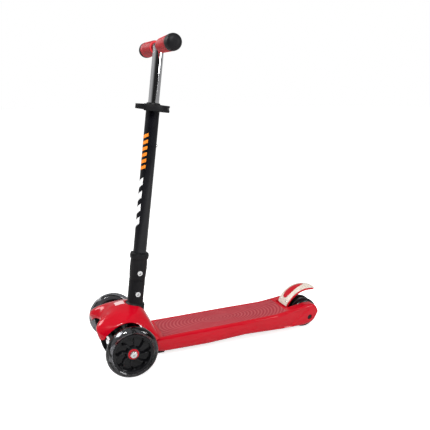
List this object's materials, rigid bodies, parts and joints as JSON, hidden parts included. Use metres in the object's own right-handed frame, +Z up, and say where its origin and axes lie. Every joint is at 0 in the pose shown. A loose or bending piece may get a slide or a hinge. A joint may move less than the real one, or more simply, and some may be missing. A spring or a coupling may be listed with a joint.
{
  "type": "kick scooter",
  "caption": "Child's lean-to-steer kick scooter: large front wheels, twin rear wheels, foot brake, folding stem and telescopic T-handlebar.",
  "frame": {"origin": "on the ground under the middle of the scooter's bounding box", "axes": "+X forward towards the large front wheels, +Y to the rider's left along the wheel axles, +Z up"},
  "size_m": [0.6086, 0.268, 0.7521],
  "materials": {
    "red_shell": "glossy moulded",
    "black_plastic": "fine grain",
    "gloss_black": "glossy moulded",
    "clear_tyre": "clear cast polyurethane",
    "black_tyre": "satin",
    "black_paint": "gloss powder coat",
    "chrome": "polished",
    "steel": "zinc plated",
    "aluminium": "cast and machined",
    "red_grip": "ribbed matte",
    "black_rubber": "satin",
    "pale_plate": "satin",
    "spring_steel": "bright wire"
  },
  "bodies": {
    "frame": {"deck": "red_shell", "front_hood": "red_shell", "front_beam": "black_plastic", "front_cover": "black_plastic", "frame_screws": "steel", "stem_yoke": "black_plastic", "stem_bolt": "steel", "hinge_bolt": "steel", "hinge_nut": "steel", "kingpins": "steel", "centring_springs": "black_rubber", "rear_axle": "steel", "rear_axle_nut": "steel", "rear_spacers": "steel", "brake_pin": "steel", "brake_spring": "spring_steel"},
    "knuckle_left": {"knuckle_left": "black_plastic", "front_axle_left": "steel", "tie_rod_pin_left": "steel"},
    "knuckle_right": {"knuckle_right": "black_plastic", "front_axle_right": "steel", "tie_rod_pin_right": "steel"},
    "tie_rod": {"tie_rod": "black_paint"},
    "brake": {"brake_fender": "red_shell", "brake_plate": "pale_plate", "plate_screws": "steel"},
    "column": {"outer_tube": "black_paint", "column_foot": "black_plastic", "tube_collar": "black_plastic", "tube_bush": "black_plastic", "clamp_collar": "black_plastic", "clamp_bolt": "steel", "clamp_nut": "steel", "lever_pin": "steel"},
    "lock_sleeve": {"lock_sleeve": "black_plastic", "lock_bolt": "steel", "lock_nut": "steel", "sleeve_spring": "spring_steel", "lock_clip": "spring_steel"},
    "clamp_lever": {"clamp_lever": "black_plastic"},
    "handlebar": {"inner_tube": "chrome", "handlebar": "black_paint", "grip_left": "red_grip", "grip_right": "red_grip", "grip_caps": "black_rubber", "button_clip": "spring_steel"},
    "height_button": {"height_button": "steel"},
    "front_wheel_left": {"front_tyre_left": "clear_tyre", "front_hub_left": "gloss_black", "front_bearings_left": "steel"},
    "front_wheel_right": {"front_tyre_right": "clear_tyre", "front_hub_right": "gloss_black", "front_bearings_right": "steel"},
    "rear_wheel_left": {"rear_tyre_left": "black_tyre", "rear_hub_left": "gloss_black", "rear_bearings_left": "steel"},
    "rear_wheel_right": {"rear_tyre_right": "black_tyre", "rear_hub_right": "gloss_black", "rear_bearings_right": "steel"}
  },
  "joints": [
    {"name": "column_fold", "type": "hinge", "parent": "frame", "child": "column", "pos_m": [0.19585, 0, 0.15801], "axis": [0, -1, 0], "range_deg": [0, 83]},
    {"name": "sleeve_lift", "type": "slide", "parent": "column", "child": "lock_sleeve", "axis": [-0.1271, 0, 0.9919], "range_m": [0, 0.0095], "stiffness_N_per_m": 400, "springref_m": -0.01, "deforming": ["sleeve_spring", "lock_clip"]},
    {"name": "clamp_lever_swing", "type": "hinge", "parent": "column", "child": "clamp_lever", "pos_m": [0.1107, 0.014, 0.59453], "axis": [-0.1271, 0, 0.9919], "range_deg": [0, 90]},
    {"name": "bar_height", "type": "slide", "parent": "column", "child": "handlebar", "axis": [-0.1271, 0, 0.9919], "range_m": [-0.08, 0.04]},
    {"name": "button_press", "type": "slide", "parent": "handlebar", "child": "height_button", "axis": [0.9919, 0, 0.1271], "range_m": [0, 0.0024], "stiffness_N_per_m": 600, "springref_m": -0.003, "deforming": ["button_clip"]},
    {"name": "steer_left", "type": "hinge", "parent": "frame", "child": "knuckle_left", "pos_m": [0.2358, 0.054, 0.06], "axis": [0.7071, 0, 0.7071], "range_deg": [-15, 15], "stiffness_Nm_per_rad": 20, "deforming": ["centring_springs"]},
    {"name": "steer_right", "type": "hinge", "parent": "frame", "child": "knuckle_right", "pos_m": [0.2358, -0.054, 0.06], "axis": [0.7071, 0, 0.7071], "range_deg": [-15, 15], "stiffness_Nm_per_rad": 20},
    {"name": "tie_rod_pivot", "type": "hinge", "parent": "knuckle_left", "child": "tie_rod", "pos_m": [0.25701, 0.054, 0.03879], "axis": [0.7071, 0, 0.7071], "range_deg": [-15, 15]},
    {"name": "brake_press", "type": "hinge", "parent": "frame", "child": "brake", "pos_m": [-0.2102, 0, 0.051], "axis": [0, -1, 0], "range_deg": [0, 25.4], "stiffness_Nm_per_rad": 1.5, "springref_deg": -17.19, "deforming": ["brake_spring"]},
    {"name": "front_left_spin", "type": "hinge", "parent": "knuckle_left", "child": "front_wheel_left", "pos_m": [0.2358, 0.117, 0.06], "axis": [0, 1, 0], "continuous": true},
    {"name": "rear_left_spin", "type": "hinge", "parent": "frame", "child": "rear_wheel_left", "pos_m": [-0.2642, 0.0135, 0.04], "axis": [0, 1, 0], "continuous": true},
    {"name": "front_right_spin", "type": "hinge", "parent": "knuckle_right", "child": "front_wheel_right", "pos_m": [0.2358, -0.117, 0.06], "axis": [0, 1, 0], "continuous": true},
    {"name": "rear_right_spin", "type": "hinge", "parent": "frame", "child": "rear_wheel_right", "pos_m": [-0.2642, -0.0135, 0.04], "axis": [0, 1, 0], "continuous": true}
  ],
  "couplings": [
    {"joint": "steer_right", "follows": "steer_left", "ratio": 1},
    {"joint": "tie_rod_pivot", "follows": "steer_left", "ratio": -1}
  ]
}
